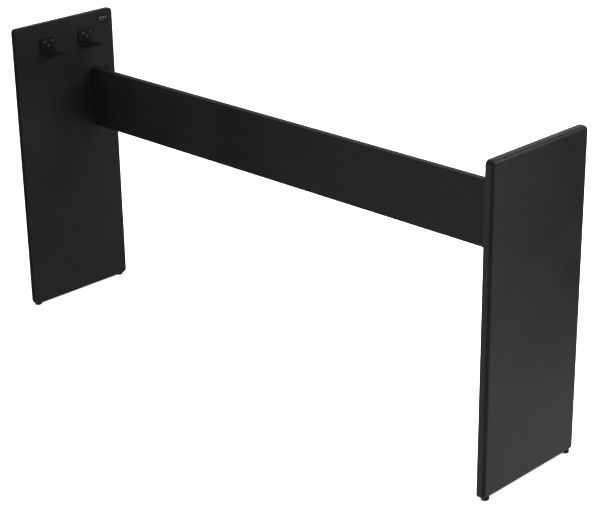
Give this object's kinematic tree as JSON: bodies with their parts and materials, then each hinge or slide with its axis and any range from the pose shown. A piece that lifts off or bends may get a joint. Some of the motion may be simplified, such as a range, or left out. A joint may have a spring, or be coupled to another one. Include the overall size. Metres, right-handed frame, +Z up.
{
  "type": "two-panel digital piano stand",
  "caption": "Black stand for a slab digital piano: two upright side panels joined by a back board, with steel L brackets on their inner faces that carry the piano.",
  "frame": {"origin": "on the floor, midway between the side panels and midway along their depth", "axes": "+X from the left panel to the right panel, -Y towards the pianist, +Z up"},
  "size_m": [1.366, 0.28, 0.67],
  "materials": {
    "black_foil": "satin black foil with a faint ash grain in relief",
    "black_backing": "satin black melamine facing with a fine pebble",
    "board_foil": "satin black foil wrapped along the board's length",
    "fibreboard": "raw fibreboard, seen only in the drilled holes and the board's ends",
    "bracket_steel": "black powder coat with a fine texture",
    "screw_steel": "black-finished steel, a little shinier than the brackets",
    "nail_steel": "bright wire",
    "dowel_beech": "raw beech",
    "glide_plastic": "moulded black polyethylene",
    "badge_plastic": "blank black label plate with two pale bars"
  },
  "bodies": {
    "root": {"left_panel_core": "fibreboard", "left_panel_foil": "black_foil", "left_panel_backing": "black_backing", "right_panel_core": "fibreboard", "right_panel_foil": "black_foil", "right_panel_backing": "black_backing", "back_board_core": "fibreboard", "back_board_wrap": "board_foil", "left_front_bracket": "bracket_steel", "left_rear_bracket": "bracket_steel", "right_front_bracket": "bracket_steel", "right_rear_bracket": "bracket_steel", "left_front_bracket_screws": "screw_steel", "left_rear_bracket_screws": "screw_steel", "right_front_bracket_screws": "screw_steel", "right_rear_bracket_screws": "screw_steel", "left_board_angle": "bracket_steel", "right_board_angle": "bracket_steel", "left_angle_panel_screws": "screw_steel", "left_angle_board_screws": "screw_steel", "right_angle_panel_screws": "screw_steel", "right_angle_board_screws": "screw_steel", "left_dowels": "dowel_beech", "right_dowels": "dowel_beech", "left_front_glide": "glide_plastic", "left_rear_glide": "glide_plastic", "right_front_glide": "glide_plastic", "right_rear_glide": "glide_plastic", "left_glide_nails": "nail_steel", "right_glide_nails": "nail_steel", "badge_plate": "badge_plastic"}
  },
  "joints": []
}
